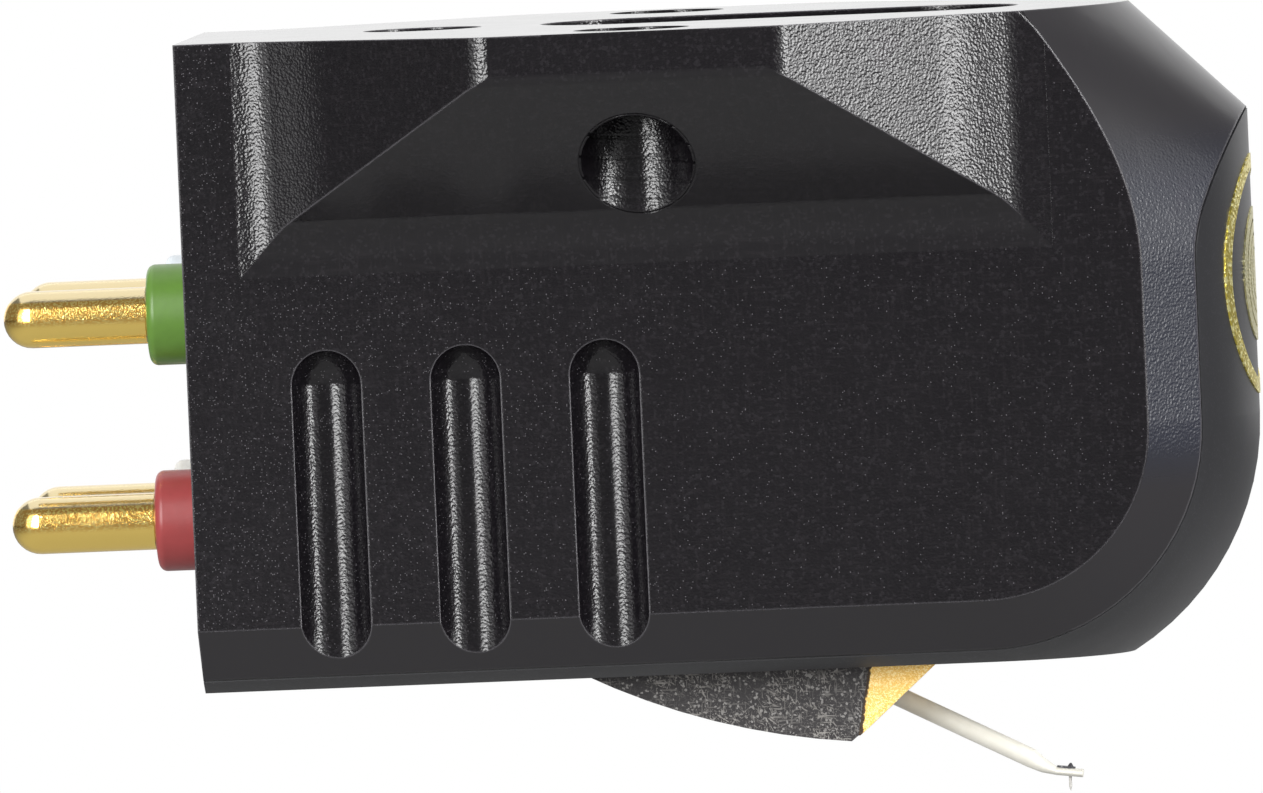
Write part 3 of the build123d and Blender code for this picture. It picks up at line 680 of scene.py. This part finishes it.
def winding_tree(material, arms):
    """Rows of rectangular wire turns on the arms, one Transform for each arm."""
    tree, given, leave = geometry_tree("Coil Windings", [
        ("Wire", FLOAT, 0.03 * MM), ("Turns", "NodeSocketInt", 9), ("Length", FLOAT, 0.3 * MM),
        ("Width", FLOAT, 0.6 * MM), ("Height", FLOAT, 0.5 * MM)])
    outline = add(tree, "GeometryNodeCurvePrimitiveQuadrilateral", {
        "Width": less(tree, given["Width"], given["Wire"]),
        "Height": less(tree, given["Height"], given["Wire"])}).outputs[0]
    turn = add(tree, "GeometryNodeFilletCurve", {
        "Curve": outline, "Count": 3, "Radius": times(tree, given["Wire"], 2.5)},
        mode="POLY").outputs[0]
    section = add(tree, "GeometryNodeCurvePrimitiveCircle", {
        "Resolution": 6, "Radius": times(tree, given["Wire"], 0.5)}).outputs[0]
    loop = add(tree, "GeometryNodeCurveToMesh",
               {"Curve": turn, "Profile Curve": section}).outputs[0]
    span = less(tree, given["Length"], given["Wire"])
    rise = calc(tree, "DIVIDE", span, less(tree, given["Turns"], 1.0))
    offset = add(tree, "ShaderNodeCombineXYZ", {"Z": rise}).outputs[0]
    start = add(tree, "ShaderNodeCombineXYZ",
                {"Z": times(tree, span, -0.5)}).outputs[0]
    row = add(tree, "GeometryNodeMeshLine", {"Count": given["Turns"], "Start Location": start,
                                             "Offset": offset}, mode="OFFSET").outputs[0]
    turns = add(tree, "GeometryNodeInstanceOnPoints",
                {"Points": row, "Instance": loop}).outputs[0]
    joined = add(tree, "GeometryNodeJoinGeometry")
    for place, turn_by in arms:
        moved = add(tree, "GeometryNodeTransform", {
            "Geometry": turns, "Translation": place, "Rotation": turn_by})
        tree.links.new(moved.outputs[0], joined.inputs[0])
    finish_tree(tree, joined.outputs[0], material, leave)
    return tree


# ---------------------------------------------------------------- operators


class CartridgeOperator:
    """What every operator of this panel shares."""

    bl_options = {"REGISTER"}

    def execute(self, context):
        self.build(context)
        return {"FINISHED"}


class CARTRIDGE_OT_body(CartridgeOperator, Operator):
    """Finish the machined body and its front cover"""

    bl_idname = "cartridge.body"
    bl_label = "Body and Cover"

    def build(self, context):
        settings = context.scene.cartridge_finishes
        wear("main_body", anodised(settings))
        wear("front_cover", satin(settings))


class CARTRIDGE_OT_medallion(CartridgeOperator, Operator):
    """Finish the gold ring and the pale disc on the nose"""

    bl_idname = "cartridge.medallion"
    bl_label = "Medallion"

    def build(self, context):
        wear("medallion_ring", glitter_gold("gold_inlay", srgb(208, 190, 86),
                                            srgb(255, 246, 172), 0.07))
        wear("medallion_disc", glitter_gold("pale_gold_inlay", srgb(196, 188, 136),
                                            srgb(206, 202, 160), 0.05))


class CARTRIDGE_OT_terminals(CartridgeOperator, Operator):
    """Finish the terminal pins and their coloured collars"""

    bl_idname = "cartridge.terminals"
    bl_label = "Terminals"

    def build(self, context):
        settings = context.scene.cartridge_finishes
        gold = pin_gold(settings)
        for name in NODES:
            if name.startswith("terminal_pin"):
                wear(name, gold)
        for tone in ("green", "red", "blue", "white"):
            tint = tuple(getattr(settings, tone))
            dark = tuple(c * SHADE for c in tint[:3]) + (1.0,)
            wear("pin_collar_" + tone, moulded("collar_" + tone, tint, dark))
        wear("lead_solder", metal("solder", srgb(196, 198, 200), 0.2, 0.4, depth=0.006))
        wear("coil_leads", metal("copper_lead", srgb(196, 110, 60), 0.25, 0.35, grain=0.03))


class CARTRIDGE_OT_generator(CartridgeOperator, Operator):
    """Finish the generator: carrier, shroud, magnet and pole pieces"""

    bl_idname = "cartridge.generator"
    bl_label = "Generator"

    def build(self, context):
        wear("generator_shroud", composite())
        wear("front_pole_piece", gilt())
        wear("rear_pole_piece", metal("soft_iron", srgb(150, 146, 140), 0.3, 0.5))
        wear("magnet", metal("magnet_plating", srgb(186, 184, 178), 0.15, 0.25))
        wear("generator_carrier", metal("plain_aluminium", srgb(190, 190, 192), 0.3, 0.45))
        steel = metal("steel_screw", srgb(168, 168, 170), 0.2, 0.35)
        wear("carrier_screw", steel)
        wear("tie_wire_grub_screw", steel)
        wear("tie_wire", metal("spring_wire", srgb(190, 188, 184), 0.15, 0.25, grain=0.02))


class CARTRIDGE_OT_suspension(CartridgeOperator, Operator):
    """Finish the damper, coil former, cantilever and stylus"""

    bl_idname = "cartridge.suspension"
    bl_label = "Suspension and Stylus"

    def build(self, context):
        wear("damper_ring", smooth_stuff("damper_rubber", srgb(44, 40, 40), srgb(24, 22, 22), 0.6))
        wear("coil_former", smooth_stuff("former_ceramic", srgb(226, 222, 210),
                                         srgb(196, 190, 176), 0.4))
        wear("cantilever", smooth_stuff("cantilever_tube", srgb(222, 220, 210),
                                        srgb(206, 203, 192), 0.38))
        wear("stylus", smooth_stuff("diamond", srgb(205, 203, 198), srgb(150, 148, 144), 0.12))
        wear("stylus_bond", smooth_stuff("dark_adhesive", srgb(74, 74, 78), srgb(46, 45, 48),
                                         0.25, size=0.08))


class CARTRIDGE_OT_threads(CartridgeOperator, Operator):
    """Cut the threads of the two tapped holes"""

    bl_idname = "cartridge.threads"
    bl_label = "Tapped Threads"

    def build(self, context):
        sizes = context.scene.cartridge_sizes
        holes = MOUNTS["headshell_screws"]["dims"]
        values = {
            "Pitch": sizes.thread_pitch, "Depth": sizes.thread_depth, "Gap": sizes.thread_gap,
            "Hole Radius": holes["hole_r_mm"] * MM,
            "Half Spacing": holes["spacing_y_mm"] / 2 * MM,
        }
        material = NODES["main_body"].material_slots[0].material
        grow("fixing_threads", thread_tree(material), values, BODY)


class CARTRIDGE_OT_windings(CartridgeOperator, Operator):
    """Wind both channels' coils on the crossed former"""

    bl_idname = "cartridge.windings"
    bl_label = "Coil Windings"

    def build(self, context):
        sizes = context.scene.cartridge_sizes
        axis = Vector(JOINTS["sideways_swing"]["axis"])
        along = Vector((axis.z, 0.0, -axis.x))
        across = Vector((0.0, 1.0, 0.0))
        up = along.cross(across)
        low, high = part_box("coil_left")
        centre = (low + high) / 2
        reach = ARM_REACH * MM
        values = {"Wire": sizes.wire, "Turns": sizes.turns}
        copper = metal("copper_winding", srgb(196, 108, 56), 0.22, 0.32, grain=0.02)
        for name, angle in (("coil_left", 45), ("coil_right", -45)):
            arms = []
            for half_turn in (0, 180):
                a = radians(angle + half_turn)
                out = across * cos(a) + up * sin(a)
                side = along.cross(out)
                basis = Matrix((side, along, out)).transposed()
                arms.append((centre + out * reach, basis.to_euler()))
            grow(name + "_turns", winding_tree(copper, arms), values, MOVING,
                 [name])


class CARTRIDGE_OT_studio(CartridgeOperator, Operator):
    """Set up the floor, the lamps and the camera"""

    bl_idname = "cartridge.studio"
    bl_label = "Studio"

    def build(self, context):
        settings = context.scene.cartridge_studio
        white_world(context.scene, settings.ambient)
        pale_floor()
        for name, azimuth, spread, distance, top, radiance in (
                ("left_strip", -26, 20, 0.35, 0.30, settings.left),
                ("left_panel", -47, 22, 0.36, 0.30, settings.left_panel),
                ("right_strip", 60, 12, 0.35, 0.30, settings.right),
                ("right_panel", 71, 12, 0.36, 0.30, settings.right_panel),
                ("broad_panel", 66, 64, 0.38, 0.30, settings.broad),
                ("back_panel", 180, 84, 0.50, 0.50, settings.behind)):
            wall_lamp(name, azimuth, spread, distance, (LAMP_FOOT, top), radiance)
        overhead_lamp(settings.overhead)
        side_camera(context.scene, settings.lens)
        context.scene.view_settings.view_transform = "Standard"


STEPS = (CARTRIDGE_OT_body, CARTRIDGE_OT_medallion, CARTRIDGE_OT_terminals,
         CARTRIDGE_OT_generator, CARTRIDGE_OT_suspension, CARTRIDGE_OT_threads,
         CARTRIDGE_OT_windings, CARTRIDGE_OT_studio)


# ---------------------------------------------------------------- studio

# Lengths of the studio are in metres and its angles in degrees.
FLOOR_Z = -0.030
FLOOR_HALF = 20.0
LAMP_FOOT = -0.028
NEAR_FLOOR, FAR_FLOOR = 0.04, 0.10  # distances between which the floor turns white
CAMERA_TARGET = (-0.00073, 0.0, -0.00813)
CAMERA_AZIMUTH, CAMERA_ELEVATION, CAMERA_ROLL = 3.6, 2.15, -2.45
FRAME_WIDTH = 0.02733  # what the picture's width takes in at the cartridge
SENSOR = 36.0  # millimetres, as Blender gives it


def camera_rays(tree):
    """1 for the rays that see the backdrop itself."""
    return tree.nodes.new("ShaderNodeLightPath").outputs["Is Camera Ray"]


def white_world(scene, ambient):
    """White backdrop in view, and a dimmer grey that lights the object."""
    world = bpy.data.worlds.new("studio_white")
    world.use_nodes = True
    tree = world.node_tree
    tree.nodes.clear()
    strength = calc(tree, "ADD", ambient,
                    times(tree, camera_rays(tree), 1.0 - ambient))
    shade = add(tree, "ShaderNodeBackground", {"Color": (1, 1, 1, 1), "Strength": strength})
    out = tree.nodes.new("ShaderNodeOutputWorld")
    tree.links.new(shade.outputs[0], out.inputs[0])
    scene.world = world


def pale_floor():
    """Floor that looks white, keeps a soft shadow near by and throws little light back."""
    material = bpy.data.materials.new("pale_floor")
    material.use_nodes = True
    tree = material.node_tree
    tree.nodes.clear()
    place = tree.nodes.new("ShaderNodeTexCoord").outputs["Object"]
    away = add(tree, "ShaderNodeVectorMath", {0: place}, operation="LENGTH").outputs["Value"]
    far = step(tree, away, NEAR_FLOOR, FAR_FLOOR)
    seen = camera_rays(tree)
    grey = mix(tree, seen, mix(tree, far, (0.36, 0.36, 0.36, 1), (0.22, 0.22, 0.22, 1)),
               (0.86, 0.86, 0.86, 1))
    diffuse = add(tree, "ShaderNodeBsdfDiffuse", {"Color": grey}).outputs[0]
    glow = add(tree, "ShaderNodeEmission", {"Color": (1, 1, 1, 1), "Strength": 1.0}).outputs[0]
    share = times(tree, seen, calc(tree, "ADD", 0.7, times(tree, far, 0.3)))
    both = add(tree, "ShaderNodeMixShader", {0: share, 1: diffuse, 2: glow}).outputs[0]
    out = tree.nodes.new("ShaderNodeOutputMaterial")
    tree.links.new(both, out.inputs[0])
    corners_xy = ((-1, -1), (1, -1), (1, 1), (-1, 1))
    mesh = bpy.data.meshes.new("floor")
    mesh.from_pydata([(x * FLOOR_HALF, y * FLOOR_HALF, FLOOR_Z) for x, y in corners_xy],
                     [], [(0, 1, 2, 3)])
    mesh.materials.append(material)
    made = bpy.data.objects.new("floor", mesh)
    bpy.context.scene.collection.objects.link(made)


def area_lamp(name, size, radiance, place, back):
    """Rectangular lamp of an even radiance, facing away from back."""
    lamp = bpy.data.lights.new(name, "AREA")
    lamp.shape = "RECTANGLE"
    lamp.size, lamp.size_y = size
    lamp.energy = radiance * pi * size[0] * size[1]
    made = bpy.data.objects.new(name, lamp)
    made.location = place
    made.rotation_euler = back.to_track_quat("Z", "Y").to_euler()
    made.visible_camera = False
    bpy.context.scene.collection.objects.link(made)


def wall_lamp(name, azimuth, spread, distance, heights, radiance):
    """Upright lamp that spans an angle as seen from the cartridge."""
    a = radians(azimuth)
    back = Vector((sin(a), -cos(a), 0.0))
    low, high = heights
    place = back * distance + Vector((0.0, 0.0, (low + high) / 2))
    width = 2 * distance * tan(radians(spread / 2))
    area_lamp(name, (width, high - low), radiance, place, back)


def overhead_lamp(radiance):
    """Level panel above the cartridge and a little behind it."""
    area_lamp("overhead_panel", (0.6, 0.55), radiance, Vector((0.0, 0.22, 0.45)),
              Vector((0.0, 0.0, 1.0)))


def side_camera(scene, lens):
    """Long lens on the right side, a little ahead and above, rolled as the picture is."""
    camera = bpy.data.cameras.new("camera")
    camera.lens = lens
    camera.sensor_width = SENSOR
    made = bpy.data.objects.new("camera", camera)
    a, e = radians(CAMERA_AZIMUTH), radians(CAMERA_ELEVATION)
    back = Vector((sin(a) * cos(e), -cos(a) * cos(e), sin(e)))
    made.location = Vector(CAMERA_TARGET) + back * (FRAME_WIDTH * lens / SENSOR)
    aim = (-back).to_track_quat("-Z", "Y")
    made.rotation_mode = "QUATERNION"
    made.rotation_quaternion = aim @ Euler((0.0, 0.0, radians(CAMERA_ROLL))).to_quaternion()
    camera.clip_start = 0.01
    camera.clip_end = 10.0
    scene.collection.objects.link(made)
    scene.camera = made


# ---------------------------------------------------------------- panel


class CARTRIDGE_PT_panel(Panel):
    """Finishes, sizes and steps of the cartridge"""

    bl_idname = "CARTRIDGE_PT_panel"
    bl_label = "Phono Cartridge"
    bl_space_type = "VIEW_3D"
    bl_region_type = "UI"
    bl_category = "Cartridge"

    def draw(self, context):
        layout = self.layout
        for group in (context.scene.cartridge_finishes, context.scene.cartridge_sizes,
                      context.scene.cartridge_studio):
            column = layout.column()
            for key in group.__annotations__:
                column.prop(group, key)
        for operator in STEPS:
            layout.operator(operator.bl_idname)


GROUPS_OF_SETTINGS = (CartridgeFinishes, CartridgeSizes, CartridgeStudio)
CLASSES = (*GROUPS_OF_SETTINGS, *STEPS, CARTRIDGE_PT_panel)


def register():
    for cls in CLASSES:
        bpy.utils.register_class(cls)
    bpy.types.Scene.cartridge_finishes = PointerProperty(type=CartridgeFinishes)
    bpy.types.Scene.cartridge_sizes = PointerProperty(type=CartridgeSizes)
    bpy.types.Scene.cartridge_studio = PointerProperty(type=CartridgeStudio)


def unregister():
    del bpy.types.Scene.cartridge_studio
    del bpy.types.Scene.cartridge_sizes
    del bpy.types.Scene.cartridge_finishes
    for cls in reversed(CLASSES):
        bpy.utils.unregister_class(cls)


def main():
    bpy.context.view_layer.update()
    register()
    for maker in (blast_group, painted_glint_group, weave_group, fibre_group, smudge_group):
        group = maker()
        GROUPS[group.name] = group
    for operator in STEPS:
        space, call = operator.bl_idname.split(".")
        getattr(getattr(bpy.ops, space), call)()


if __name__ == "__main__":
    main()
